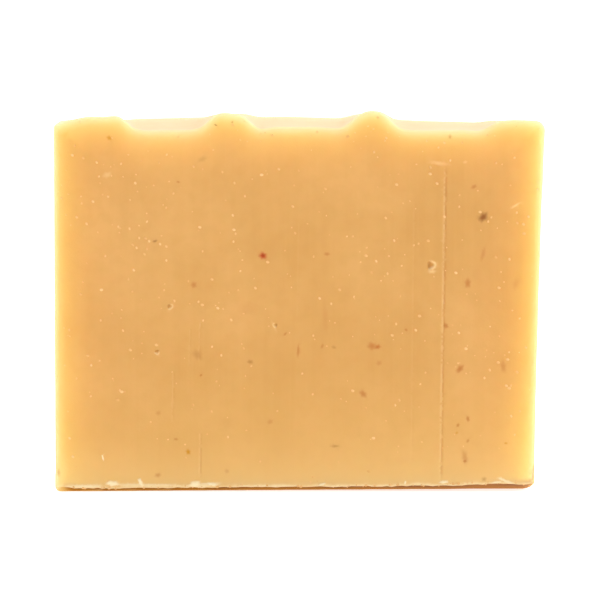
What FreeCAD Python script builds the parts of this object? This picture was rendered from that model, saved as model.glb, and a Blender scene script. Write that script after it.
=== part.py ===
# A hand-cut bar of soap, one solid piece, standing on the face that lay on the mould's floor.
# The soap was poured into a loaf mould, its top was worked into peaks with a spoon, and a wire
# then cut the loaf into slices. So the bar has two flat cut faces, two moulded side walls, of
# which only the right one flares outwards, a moulded base and a free, wavy top. Where the wire left
# the loaf it broke the lower edge of each cut face into a bevel with a thin lip above it.
# Sizes are in millimetres. +X runs to the right along the cut face, +Y from the front cut face
# to the back one, and +Z up. The origin is at the middle of the bar's outline, on the base.
import FreeCAD, Part

import math
import os
from collections import namedtuple

Vector = FreeCAD.Vector

# Driving sizes of the poured loaf and of the slice.
slice_thickness = 25.4
width_at_base = 82.0
pour_height = 62.0
pour_fall_to_back = 0.6

# Between the peaks the pour swells a little: its rise, its place from the left wall and how wide.
Swell = namedtuple("Swell", "rise place half_width")
FRONT_SWELL = Swell(0.55, 41.0, 10.8)
BACK_SWELL = Swell(1.25, 33.5, 31.8)

# How far the right wall leans out at the height of the pour, and how far it bows in.
right_wall_lean = 1.6
right_wall_bow = 0.21

# Rounding left by the mould, and the easing of the edges that the wire cut.
base_left_radius = 1.0
base_right_radius = 1.8
left_shoulder_radius = 0.6
right_shoulder_radius = 1.6
cut_edge_easing = 0.3

# Spacing of the heights that the top surface is drawn through.
top_step_across = 2.4
top_rows = 5
top_overrun = 3.0

# The two cut faces, as the side of the bar that each is on.
FRONT = -1
BACK = 1

# A spooned peak runs from the front cut face to the back one and dies down on the way.
# Its crown is flat and its flanks fall as a cosine squared. Places are from the left wall.
Peak = namedtuple("Peak", "front_place back_place sway front_rise back_rise crown left_flank right_flank")
PEAKS = [
    Peak(8.8, 4.9, 0.8, 2.4, 0.0, 3.9, 11.9, 4.0),
    Peak(29.8, 30.2, -0.6, 2.7, 0.5, 3.1, 4.2, 3.5),
    Peak(54.2, 54.1, 0.7, 3.2, 0.95, 1.3, 5.4, 5.0),
]

# The peak against the right wall is placed from that wall's top instead.
right_peak_inset = 5.2
RIGHT_PEAK = Peak(0.0, -0.4, 0.6, 1.75, 0.3, 4.8, 2.7, 7.7)

# The broken lower edge of each cut face: its height and its depth at the left and the right.
Bevel = namedtuple("Bevel", "face left_height right_height left_depth right_depth")
BEVELS = [
    Bevel(FRONT, 0.85, 1.5, 0.4, 3.8),
    Bevel(BACK, 0.8, 0.7, 0.9, 0.6),
]

# The thin lip of dragged soap above each bevel.
lip_height = 0.8
lip_proud = 0.3
lip_root = 0.1
lip_end_inset = 0.6

# A shallow V-shaped groove that a hard crumb dragged down a cut face.
# Places are from the left wall, and heights from the base.
DragMark = namedtuple("DragMark", "face top_place top_height low_place low_height width depth")
DRAG_MARKS = [
    DragMark(FRONT, 66.8, 56.3, 66.1, 2.8, 0.36, 0.15),
    DragMark(FRONT, 25.0, 10.8, 24.9, 2.6, 0.3, 0.12),
    DragMark(BACK, 58.4, 56.5, 58.0, 2.6, 0.34, 0.14),
    DragMark(BACK, 22.0, 38.0, 21.8, 14.0, 0.3, 0.12),
]

# An open air pit in a cut face: the cap of a ball that the wire sliced through.
Pit = namedtuple("Pit", "face place height width depth")
PITS = [
    Pit(FRONT, 64.1, 39.0, 1.25, 0.42),
    Pit(FRONT, 17.5, 24.1, 0.8, 0.28),
    Pit(FRONT, 37.6, 28.7, 0.8, 0.28),
    Pit(BACK, 20.5, 44.0, 1.1, 0.38),
    Pit(BACK, 47.0, 30.0, 0.8, 0.28),
]

# What follows from the driving sizes.
front_y = FRONT * slice_thickness / 2
shoulder_height = pour_height - right_shoulder_radius
tallest_rise = max(peak.front_rise for peak in PEAKS + [RIGHT_PEAK])
block_height = pour_height + FRONT_SWELL.rise + tallest_rise + top_overrun
overrun = 1.0


def right_lean(z):
    """How far the right wall stands out beyond its foot at a height."""
    share = z / pour_height
    return right_wall_lean * share - 4 * right_wall_bow * share * (1 - share)


left_foot = -(width_at_base + right_lean(shoulder_height)) / 2
right_foot = left_foot + width_at_base


def face_y(face):
    """The plane of one cut face."""
    return face * slice_thickness / 2


def bump(distance, peak):
    """A peak's section: 1 on its crown, falling to 0 at the foot of each flank."""
    beyond_crown = abs(distance) - peak.crown / 2
    if beyond_crown <= 0:
        return 1.0
    flank = peak.left_flank if distance < 0 else peak.right_flank
    if beyond_crown >= flank:
        return 0.0
    return math.cos(math.pi / 2 * beyond_crown / flank) ** 2


def peak_rise(peak, start_x, x, way_back):
    """How far a peak stands above the pour, with way_back 0 at the front face and 1 at the back."""
    run = peak.back_place - peak.front_place
    crest_x = start_x + peak.front_place + run * way_back + peak.sway * math.sin(math.pi * way_back)
    rise = peak.front_rise + (peak.back_rise - peak.front_rise) * way_back
    return rise * bump(x - crest_x, peak)


def swell_rise(swell, x):
    """How far a swell lifts the pour at a place across the bar."""
    return swell.rise * math.exp(-(((x - left_foot - swell.place) / swell.half_width) ** 2))


def top_height(x, y):
    """The free top's height above the base."""
    way_back = (y - front_y) / slice_thickness
    height = pour_height - pour_fall_to_back * way_back
    height += swell_rise(FRONT_SWELL, x) * (1 - way_back) + swell_rise(BACK_SWELL, x) * way_back
    for peak in PEAKS:
        height += peak_rise(peak, left_foot, x, way_back)
    right_peak_x = right_foot + right_lean(pour_height) - right_peak_inset
    return height + peak_rise(RIGHT_PEAK, right_peak_x, x, way_back)


def spaced(start, end, count):
    """Evenly spaced values from start to end, both included."""
    return [start + (end - start) * i / (count - 1) for i in range(count)]


def below_the_top():
    """Everything under the free top, drawn through a grid of heights that runs past the bar."""
    start_x = left_foot - top_overrun
    end_x = right_foot + right_lean(block_height) + top_overrun
    columns = math.ceil((end_x - start_x) / top_step_across) + 1
    xs = spaced(start_x, end_x, columns)
    ys = spaced(face_y(FRONT) - top_overrun, face_y(BACK) + top_overrun, top_rows)
    grid = [[Vector(x, y, top_height(x, y)) for x in xs] for y in ys]
    surface = Part.BSplineSurface()
    surface.interpolate(grid)
    return surface.toShape().extrude(Vector(0, 0, -block_height - overrun))


def moulded_block():
    """The slice before its edges are softened: cut faces, side walls, base and free top."""
    right_wall = [Vector(right_foot + right_lean(z), front_y, z) for z in spaced(0, block_height, 3)]
    left_base = Vector(left_foot, front_y, 0)
    left_top = Vector(left_foot, front_y, block_height)
    edges = [
        Part.makeLine(left_base, right_wall[0]),
        Part.Arc(*right_wall).toShape(),
        Part.makeLine(right_wall[-1], left_top),
        Part.makeLine(left_top, left_base),
    ]
    block = Part.Face(Part.Wire(edges)).extrude(Vector(0, slice_thickness, 0))
    return block.common(below_the_top()).Solids[0]


def long_edge(shape, at_base, on_right):
    """The edge that runs from cut face to cut face at one corner of the slice."""
    for edge in shape.Edges:
        ends = [vertex.Point for vertex in edge.Vertexes]
        runs_through = len(ends) == 2 and abs(ends[0].y - ends[1].y) > slice_thickness / 2
        if runs_through and (ends[0].z < pour_height / 2) == at_base and (ends[0].x > 0) == on_right:
            return [edge]


def cut_face_outline(shape, face):
    """The edges around one cut face."""
    y = face_y(face)
    return [f for f in shape.Faces if abs(f.CenterOfMass.y - y) < 1e-4][0].OuterWire.Edges


def soften(bar):
    """Rounds the moulded corners, then eases the outline of each cut face."""
    bar = bar.makeFillet(base_left_radius, long_edge(bar, True, False))
    bar = bar.makeFillet(base_right_radius, long_edge(bar, True, True))
    bar = bar.makeFillet(left_shoulder_radius, long_edge(bar, False, False))
    bar = bar.makeFillet(right_shoulder_radius, long_edge(bar, False, True))
    for face in (FRONT, BACK):
        bar = bar.makeChamfer(cut_edge_easing, cut_face_outline(bar, face))
    return bar


def bevel_size(bevel, x):
    """The bevel's height and depth along the base, each of which changes evenly."""
    share = (x - left_foot) / width_at_base
    height = bevel.left_height + (bevel.right_height - bevel.left_height) * share
    depth = bevel.left_depth + (bevel.right_depth - bevel.left_depth) * share
    return height, depth


def along_base(start_x, end_x, section):
    """A solid along the base between the sections that a function gives at its two ends."""
    wires = []
    for x in (start_x, end_x):
        corners = [Vector(x, y, z) for y, z in section(x)]
        wires.append(Part.makePolygon(corners + [corners[0]]))
    return Part.makeLoft(wires, True, True)


def broken_edge(bevel):
    """What the wire broke away along the lower edge of a cut face."""

    def section(x):
        height, depth = bevel_size(bevel, x)
        y = face_y(bevel.face)
        out = y + bevel.face * overrun
        return [
            (out, -overrun),
            (out, height + overrun * height / depth),
            (y - bevel.face * (depth + overrun * depth / height), -overrun),
        ]

    return along_base(left_foot - overrun, right_foot + right_wall_lean + overrun, section)


def dragged_lip(bevel):
    """The thin lip of soap that the wire left above the bevel."""

    def section(x):
        foot, _ = bevel_size(bevel, x)
        y = face_y(bevel.face)
        root = y - bevel.face * lip_root
        return [
            (root, foot),
            (y + bevel.face * lip_proud, foot + lip_root),
            (root, foot + lip_height),
        ]

    start_x = left_foot + cut_edge_easing + lip_end_inset
    end_x = right_foot - cut_edge_easing - lip_end_inset
    return along_base(start_x, end_x, section)


def drag_groove(mark):
    """The V-shaped prism that a drag mark takes out of its cut face."""
    y = face_y(mark.face)
    low = Vector(left_foot + mark.low_place, y, mark.low_height)
    top = Vector(left_foot + mark.top_place, y, mark.top_height)
    outward = Vector(0, mark.face, 0)
    side = (top - low).cross(outward).normalize()
    spread = mark.width / 2 / mark.depth * (mark.depth + overrun)
    corners = [
        low - outward * mark.depth,
        low + outward * overrun + side * spread,
        low + outward * overrun - side * spread,
    ]
    section = Part.Face(Part.makePolygon(corners + [corners[0]]))
    return section.extrude(top - low)


def pit_ball(pit):
    """The ball whose cap is the pit: its radius follows from the pit's width and depth."""
    radius = ((pit.width / 2) ** 2 + pit.depth**2) / (2 * pit.depth)
    y = face_y(pit.face) + pit.face * (radius - pit.depth)
    return Part.makeSphere(radius, Vector(left_foot + pit.place, y, pit.height))


def soap_bar():
    """The whole bar as one solid."""
    bar = soften(moulded_block())
    for bevel in BEVELS:
        bar = bar.cut(broken_edge(bevel))
        bar = bar.fuse(dragged_lip(bevel))
    for mark in DRAG_MARKS:
        bar = bar.cut(drag_groove(mark))
    for pit in PITS:
        bar = bar.cut(pit_ball(pit))
    return bar.Solids[0]


def main():
    """Writes the bar to parts/."""
    os.makedirs("parts", exist_ok=True)
    bar = soap_bar()
    bar.exportStep("parts/soap_bar.step")
    print(f"soap_bar: valid {bar.isValid()}, {bar.Volume / 1000:.1f} cm3, {bar.BoundBox}")


main()
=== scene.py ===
"""The look of a hand-cut bar of cold-process soap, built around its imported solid.

The bar is one casting, so one mesh stands for it: a band round its moulded walls, base and free
top, closed by its two cut faces. The band is read off the solid with rays. The cut faces carry
what the wire met or left: pits, drag marks, flecks of spice and a torn lip along the lower edge.
Pale grains in the cut faces and crumbs along the lip are scattered by Geometry Nodes.
Sizes are in millimetres unless a class says otherwise, and become metres where a mesh is made.
Places run from the left wall's foot and heights from the base, as seen from the front.
"""

import logging
import math
from dataclasses import dataclass, field
from enum import Enum

import bpy
import numpy as np
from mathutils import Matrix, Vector, noise
from mathutils.bvhtree import BVHTree
from mathutils.geometry import delaunay_2d_cdt
from mathutils.kdtree import KDTree


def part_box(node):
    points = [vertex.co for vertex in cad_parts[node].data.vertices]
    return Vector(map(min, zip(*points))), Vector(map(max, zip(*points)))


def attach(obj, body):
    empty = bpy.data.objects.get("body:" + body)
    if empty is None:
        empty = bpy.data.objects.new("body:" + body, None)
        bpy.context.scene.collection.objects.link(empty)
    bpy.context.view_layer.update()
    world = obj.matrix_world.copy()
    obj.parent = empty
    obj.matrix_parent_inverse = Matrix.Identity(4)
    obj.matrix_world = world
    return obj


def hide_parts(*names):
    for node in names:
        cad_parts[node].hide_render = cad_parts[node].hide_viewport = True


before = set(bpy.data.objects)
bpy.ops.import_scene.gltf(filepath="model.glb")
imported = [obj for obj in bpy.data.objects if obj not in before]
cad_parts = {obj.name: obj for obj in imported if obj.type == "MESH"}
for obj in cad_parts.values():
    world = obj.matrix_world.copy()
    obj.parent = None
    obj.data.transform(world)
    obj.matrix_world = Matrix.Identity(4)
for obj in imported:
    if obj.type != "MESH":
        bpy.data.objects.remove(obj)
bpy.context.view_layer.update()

MM = 0.001
CM = 0.01
NODE = "soap_bar"
BODY = "root"
SHADE = "shade"
SOAP_COLOUR = "DAA760"
# How delaunay_2d_cdt is told to keep only the triangles inside the outline.
INSIDE_ONLY = 1
# The two colour inputs of a Mix node, whose names its hidden inputs share.
UNDER, OVER = 6, 7
# Where a smooth step starts and where it ends.
Step = tuple[float, float]

log = logging.getLogger("soap")


class Face(Enum):
    """The two cut faces, as the side of the bar that each is on."""

    FRONT = -1
    BACK = 1


class Tone(Enum):
    """What a fleck is made of, how torn soap differs, or a painted glow, light or shade, as an sRGB colour.
    """

    CLOVE = "84400A"
    CINNAMON = "B4560A"
    PAPRIKA = "BC3A10"
    OCHRE = "CC8A10"
    HERB = "B67E3C"
    CREAM = "FBDDA4"
    FLAKE = "FFEFC6"
    RIND_AND_GLOW = "F0C98E"
    SHADED_AMBER = "C48212"
    HONEY_GLOW = "F4BC6A"
    STRAW_FLOOR_LIGHT = "E6C070"
    CREASE = "8C4C0A"


def linear(hex_colour: str) -> tuple[float, float, float, float]:
    """Turns an sRGB hex value to linear red, green and blue, and an alpha of 1."""
    levels = [int(hex_colour[i : i + 2], 16) / 255 for i in (0, 2, 4)]
    return tuple(c / 12.92 if c <= 0.04045 else ((c + 0.055) / 1.055) ** 2.4 for c in levels) + (1.0,)


def smooth_step(low: float, high: float, value: np.ndarray) -> np.ndarray:
    """Rises smoothly from 0 at low to 1 at high, or falls where low is above high."""
    share = np.clip((value - low) / (high - low), 0.0, 1.0)
    return share * share * (3 - 2 * share)


def bell(offset: np.ndarray, reach: float) -> np.ndarray:
    """Falls smoothly from 1 at an offset of 0, to about a third at the reach."""
    return np.exp(-((offset / reach) ** 2))


def add_to_scene(name: str, data: bpy.types.ID) -> bpy.types.Object:
    """Makes an object of a mesh, a lamp or a camera, and puts it in the scene.

    Args:
        name: The object's name.
        data: The mesh, the lamp or the camera.

    Returns:
        The object.
    """
    added = bpy.data.objects.new(name, data)
    bpy.context.scene.collection.objects.link(added)
    return added


@dataclass(frozen=True)
class Ripple:
    """Smooth noise: the size of its lumps, one for all axes or one for each, and its strength.

    The shift moves the pattern, so that two of a size differ.
    """

    size: float | tuple[float, float, float]
    strength: float
    shift: float = 0.0

    def at(self, points: np.ndarray) -> np.ndarray:
        """Reads the noise at points, from about minus the strength to the strength."""
        scaled = points / np.asarray(self.size, float) + self.shift
        return self.strength * np.array([noise.noise(Vector(p)) for p in scaled])


class Paint:
    """Colours laid over the soap's own at a set of points, each over the ones before."""

    CLEAR_TONES = (Tone.RIND_AND_GLOW, Tone.HONEY_GLOW, Tone.STRAW_FLOOR_LIGHT)
    LEAST_COVER = 1e-4

    def __init__(self, count: int) -> None:
        """Starts with no cover.

        Args:
            count: How many points there are.
        """
        self.colour = np.tile(np.array(linear(SOAP_COLOUR)[:3]), (count, 1))
        self.cover = np.zeros(count)
        self.clear = np.ones(count)

    def lay(self, tone: Tone, share: np.ndarray) -> None:
        """Lays a tone over what is there.

        Args:
            tone: The tone.
            share: How much of it shows at each point.
        """
        total = 1 - (1 - self.cover) * (1 - share)
        below = self.cover * (1 - share) / np.maximum(total, self.LEAST_COVER)
        kept = np.where(total > self.LEAST_COVER, below, 1.0)[:, None]
        self.colour = self.colour * kept + np.array(linear(tone.value)[:3]) * (1 - kept)
        self.cover = total
        if tone not in self.CLEAR_TONES:
            self.cloud(share)

    def cloud(self, share: np.ndarray) -> None:
        """Makes the soap by a share as opaque as a solid speck or a thin torn edge is."""
        self.clear = self.clear * (1 - share)

    def rows(self) -> np.ndarray:
        """A row of linear red, green and blue, of cover and of clearness for each point."""
        return np.column_stack([self.colour, self.cover, self.clear])


@dataclass(frozen=True)
class Fleck:
    """A speck of spice or herb that the wire cut through, or that shows from just below."""

    place: float
    height: float
    length: float
    width: float
    turn: float
    cover: float
    tone: Tone = Tone.CINNAMON


@dataclass(frozen=True)
class Pit:
    """An air bubble or a lost crumb that the wire opened: a bowl with a slightly raised rim, painted shade on
    its dark side and a painted highlight on its rim opposite.
    """

    place: float
    height: float
    width: float
    depth: float
    dark_side: float = 45.0


@dataclass(frozen=True)
class DragMark:
    """A groove that a hard crumb dragged down a cut face, with soap pushed up on its left, a painted
    highlight on that bank and painted shade in the groove.
    """

    top_place: float
    top_height: float
    low_place: float
    low_height: float
    width: float
    depth: float


@dataclass(frozen=True)
class Chip:
    """A pale flake that tore loose from the lip and lies against the cut face."""

    place: float
    height: float
    length: float
    width: float
    turn: float
    proud: float


FRONT_FLECKS = [
    Fleck(35.6, 40.6, 1.2, 1.0, 40, 0.95, Tone.PAPRIKA),
    Fleck(35.6, 40.7, 0.6, 0.5, 0, 0.5, Tone.CLOVE),
    Fleck(73.1, 47.2, 1.7, 1.0, 65, 0.85, Tone.CLOVE),
    Fleck(71.5, 52.4, 0.8, 0.65, 45, 0.4),
    Fleck(70.5, 35.9, 1.2, 1.0, 85, 0.5),
    Fleck(73.1, 40.9, 2.4, 0.6, 80, 0.25),
    Fleck(46.5, 40.9, 0.8, 0.6, 10, 0.4),
    Fleck(66.8, 28.6, 0.8, 0.7, 0, 0.55),
    Fleck(60.0, 27.9, 0.5, 0.4, 0, 0.45),
    Fleck(54.2, 25.1, 1.4, 1.1, 25, 0.55),
    Fleck(55.2, 25.0, 0.8, 0.7, 120, 0.7),
    Fleck(55.4, 22.2, 1.0, 0.7, 0, 0.25),
    Fleck(69.2, 21.2, 1.4, 0.9, 35, 0.6),
    Fleck(76.6, 21.6, 1.7, 1.0, 95, 0.3),
    Fleck(52.7, 16.9, 1.2, 1.0, 150, 0.5),
    Fleck(45.7, 25.1, 0.7, 0.5, 70, 0.35),
    Fleck(70.6, 12.6, 0.8, 0.6, 100, 0.55),
    Fleck(68.9, 11.5, 0.6, 0.5, 30, 0.5),
    Fleck(68.7, 10.2, 0.5, 0.4, 0, 0.5, Tone.OCHRE),
    Fleck(70.6, 8.8, 0.6, 0.5, 60, 0.4),
    Fleck(70.1, 6.0, 1.9, 1.0, 96, 0.35),
    Fleck(70.1, 5.3, 0.5, 0.5, 0, 0.5),
    Fleck(77.1, 8.4, 0.5, 0.4, 0, 0.6, Tone.OCHRE),
    Fleck(73.4, 2.2, 0.8, 0.6, 70, 0.55, Tone.HERB),
    Fleck(47.9, 7.9, 1.5, 0.4, 5, 0.6, Tone.HERB),
    Fleck(36.8, 12.1, 1.0, 0.7, 0, 0.25),
    Fleck(29.4, 3.6, 0.8, 0.6, 0, 0.25),
    Fleck(41.6, 24.3, 2.2, 0.4, 90, 0.45),
    Fleck(39.4, 27.2, 0.6, 0.4, 50, 0.45),
    Fleck(33.4, 22.4, 0.8, 0.7, 0, 0.7, Tone.HERB),
    Fleck(23.8, 35.6, 1.0, 0.8, 20, 0.4),
    Fleck(24.4, 23.6, 1.9, 1.2, 112, 0.4, Tone.HERB),
    Fleck(25.0, 20.1, 0.4, 0.4, 0, 0.5),
    Fleck(20.7, 9.1, 0.6, 0.5, 0, 0.4),
    Fleck(22.8, 6.9, 0.8, 0.75, 170, 0.9, Tone.OCHRE),
    Fleck(17.7, 13.6, 0.9, 0.7, 0, 0.25),
    Fleck(17.6, 2.9, 1.1, 0.6, 5, 0.4),
    Fleck(17.2, 43.1, 0.9, 0.3, 15, 0.55, Tone.CLOVE),
    Fleck(21.2, 53.2, 0.5, 0.4, 0, 0.4),
    Fleck(25.3, 57.1, 1.5, 0.9, 10, 0.3, Tone.HERB),
    Fleck(65.5, 56.4, 3.0, 0.7, 175, 0.5, Tone.RIND_AND_GLOW),
    Fleck(70.0, 56.6, 0.6, 0.5, 0, 0.5, Tone.RIND_AND_GLOW),
    Fleck(9.5, 60.7, 0.8, 0.7, 0, 0.7, Tone.OCHRE),
    Fleck(27.6, 62.9, 0.5, 0.3, 160, 0.55, Tone.CLOVE),
    Fleck(30.4, 63.4, 0.4, 0.3, 0, 0.6, Tone.HERB),
    Fleck(67.4, 60.9, 0.6, 0.6, 0, 0.5, Tone.HERB),
    Fleck(9.1, 54.4, 1.3, 0.9, 30, 0.3, Tone.CREAM),
    Fleck(0.6, 3.4, 1.1, 0.6, 90, 0.45, Tone.HERB),
    Fleck(64.4, 37.9, 1.0, 0.7, 0, 0.45, Tone.CREAM),
    Fleck(46.2, 30.2, 4.5, 1.0, 95, 0.1),
    Fleck(33.2, 31.5, 3.0, 2.4, 0, 0.1),
    Fleck(29.3, 11.8, 2.6, 1.8, 0, 0.07),
    Fleck(78.7, 35.8, 1.8, 1.0, 90, 0.14),
    Fleck(78.6, 49.2, 1.8, 0.35, 35, 0.5, Tone.CREAM),
    Fleck(47.7, 24.9, 0.8, 0.5, 0, 0.45, Tone.HERB),
]
FRONT_PITS = [
    Pit(64.2, 39.0, 1.4, 0.42, 175),
    Pit(17.5, 24.1, 0.8, 0.28, 100),
    Pit(37.7, 28.7, 0.75, 0.28, 15),
    Pit(19.7, 31.9, 0.9, 0.24, 150),
]
FRONT_DRAG_MARKS = [
    DragMark(66.8, 56.3, 66.1, 2.8, 0.36, 0.15),
    DragMark(25.0, 10.8, 24.9, 2.6, 0.3, 0.12),
    DragMark(25.0, 29.6, 24.8, 22.7, 0.28, 0.05),
    DragMark(23.3, 28.7, 23.1, 21.9, 0.26, 0.04),
    DragMark(20.4, 21.0, 20.2, 12.4, 0.26, 0.05),
    DragMark(61.5, 50.1, 61.1, 5.5, 0.3, 0.025),
    DragMark(41.9, 46.7, 41.6, 29.6, 0.26, 0.02),
]
FRONT_CHIPS = [
    Chip(9.8, 1.45, 2.5, 0.9, 6, 0.22),
    Chip(14.6, 1.7, 1.3, 0.8, 118, 0.28),
    Chip(5.2, 1.0, 7.5, 0.5, 0, 0.04),
    Chip(16.0, 1.2, 13.0, 0.55, 0, 0.03),
    Chip(36.0, 0.95, 14.0, 0.4, 0, 0.03),
    Chip(52.0, 0.95, 16.0, 0.4, 0, 0.03),
    Chip(65.0, 1.0, 10.0, 0.5, 1, 0.04),
    Chip(25.5, 1.25, 6.0, 0.8, 2, 0.04),
    Chip(23.9, 1.4, 2.2, 0.9, 8, 0.2),
    Chip(26.9, 1.3, 1.6, 0.6, 170, 0.24),
    Chip(45.7, 1.3, 1.2, 0.5, 15, 0.2),
    Chip(59.9, 1.6, 0.7, 0.4, 85, 0.16),
    Chip(66.5, 1.7, 1.8, 0.5, 10, 0.22),
    Chip(75.4, 1.6, 2.2, 0.5, 8, 0.05),
    Chip(77.1, 1.9, 3.0, 0.6, 158, 0.06),
    Chip(8.2, 5.9, 1.0, 0.35, 105, 0.14),
]
BACK_FLECKS = [
    Fleck(14.0, 47.0, 1.1, 0.8, 30, 0.6),
    Fleck(31.5, 20.5, 0.9, 0.7, 0, 0.6, Tone.CLOVE),
    Fleck(52.0, 50.5, 0.8, 0.5, 80, 0.5),
    Fleck(64.5, 36.0, 1.2, 0.9, 140, 0.8, Tone.PAPRIKA),
    Fleck(12.0, 14.5, 0.7, 0.5, 20, 0.5),
    Fleck(26.0, 33.0, 1.6, 0.5, 95, 0.35, Tone.HERB),
    Fleck(43.5, 11.0, 0.8, 0.8, 0, 0.6, Tone.OCHRE),
    Fleck(74.0, 24.0, 1.0, 0.7, 60, 0.6),
    Fleck(58.0, 17.0, 0.6, 0.5, 0, 0.45),
    Fleck(38.0, 44.0, 0.6, 0.4, 110, 0.45),
]
BACK_PITS = [
    Pit(20.5, 44.0, 1.1, 0.38),
    Pit(47.0, 30.0, 0.8, 0.28),
]
BACK_DRAG_MARKS = [
    DragMark(58.4, 56.5, 58.0, 2.6, 0.34, 0.14),
    DragMark(22.0, 38.0, 21.8, 14.0, 0.3, 0.12),
    DragMark(35.2, 52.0, 34.9, 24.0, 0.28, 0.04),
]
BACK_CHIPS = [
    Chip(12.0, 1.4, 1.6, 0.6, 12, 0.2),
    Chip(33.0, 1.3, 1.2, 0.6, 165, 0.22),
    Chip(51.0, 1.4, 2.0, 0.7, 8, 0.2),
    Chip(70.5, 1.3, 1.3, 0.5, 20, 0.22),
]


class PackedBar:
    """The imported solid, whose shape is read by casting rays at it from all round."""

    FOOT_HEIGHT = 5.0

    def __init__(self, node: bpy.types.Object) -> None:
        """Reads the solid's mesh.

        Args:
            node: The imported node.
        """
        mesh = node.data
        corners = [v.co / MM for v in mesh.vertices]
        self.tree = BVHTree.FromPolygons(corners, [tuple(p.vertices) for p in mesh.polygons])
        low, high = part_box(node.name)
        self.middle_height = (low.z + high.z) / 2 / MM
        self.reach = (high - low).length / MM
        probe = Vector((0, 0, self.middle_height))
        self.face_y = {face: self.tree.ray_cast(probe, Vector((0, face.value, 0)))[0].y for face in Face}
        foot = self.tree.ray_cast(Vector((0, 0, self.FOOT_HEIGHT)), Vector((-1, 0, 0)))[0]
        self.left_foot = foot.x

    def section(self, y: float, angles: np.ndarray) -> np.ndarray:
        """Reads the solid's outline in one slice.

        Args:
            y: Where the slice is.
            angles: The direction of each ray from the slice's middle.

        Returns:
            A row of x, y and z for each angle.
        """
        middle = Vector((0, y, self.middle_height))
        hits = []
        for angle in angles:
            way = Vector((math.cos(angle), 0, math.sin(angle)))
            hits.append(self.tree.ray_cast(middle + way * self.reach, -way)[0])
        return np.array([tuple(hit) for hit in hits])


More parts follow.
